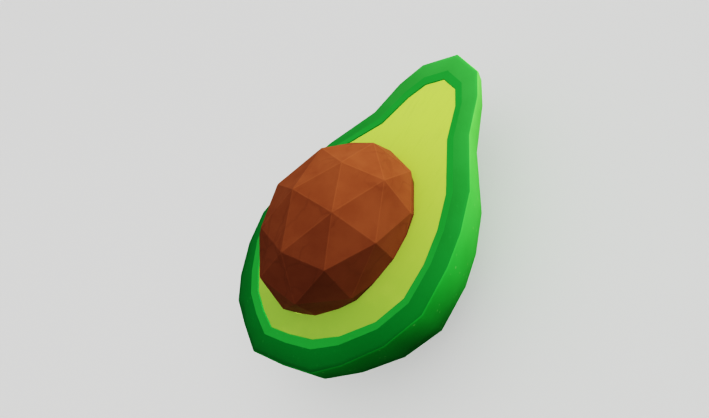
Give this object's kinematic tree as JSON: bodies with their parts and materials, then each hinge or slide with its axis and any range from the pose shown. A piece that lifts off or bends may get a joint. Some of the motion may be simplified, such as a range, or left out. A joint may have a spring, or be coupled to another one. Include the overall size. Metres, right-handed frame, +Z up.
{
  "type": "avocado half",
  "caption": "Half an avocado lying cut face up: thick green skin with a rounded rim, flat yellow-green flesh and a large faceted brown seed standing out of it.",
  "frame": {"origin": "bottom centre of the whole part, on the flat spot's plane", "axes": "+Z up out of the cut face, +Y along the fruit towards the stem end, +X to the right seen from above"},
  "size_m": [0.0698, 0.1064, 0.0501],
  "materials": {
    "skin": "satin green fruit skin, waxy, with fine pebbling",
    "flesh": "soft moist yellow-green fruit flesh",
    "seed": "dry brown seed coat, flat facets, low sheen"
  },
  "bodies": {
    "root": {"skin": "skin", "flesh": "flesh", "seed": "seed"}
  },
  "joints": []
}
